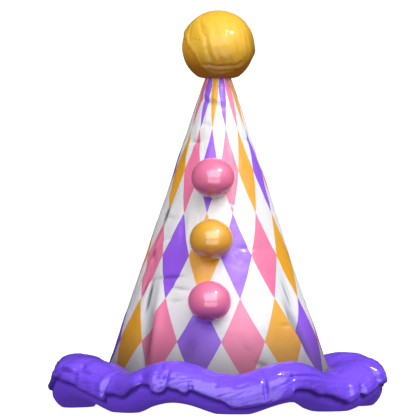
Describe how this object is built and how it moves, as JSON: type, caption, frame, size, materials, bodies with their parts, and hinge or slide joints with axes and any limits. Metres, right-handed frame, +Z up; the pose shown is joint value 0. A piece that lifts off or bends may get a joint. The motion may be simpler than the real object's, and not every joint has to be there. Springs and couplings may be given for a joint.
{
  "type": "clown hat",
  "caption": "Tall cone hat with a harlequin diamond pattern, a stuffed wavy ruffle round its hem, shiny balls down its front and a satin ball on its tip.",
  "frame": {"origin": "the middle of the hat, on the cone's axis, on the surface that the ruffle stands on", "axes": "+Z up along the cone's axis to the ball on its tip, -Y to the front, where the shiny balls are, +X to the right of someone looking at the front"},
  "size_m": [0.2697, 0.2691, 0.3167],
  "materials": {
    "harlequin_cloth": "white cloth with a soft sheen and printed pink, gold and violet diamonds",
    "violet_satin": "violet satin, gathered and stuffed",
    "gold_satin": "golden yellow satin, softly creased",
    "pink_gloss": "glossy pink",
    "gold_gloss": "glossy golden yellow"
  },
  "bodies": {
    "root": {"cone_crown": "harlequin_cloth", "ruffle_roll": "violet_satin", "top_ball": "gold_satin", "pink_ball_lower": "pink_gloss", "gold_ball_middle": "gold_gloss", "pink_ball_upper": "pink_gloss"}
  },
  "joints": []
}
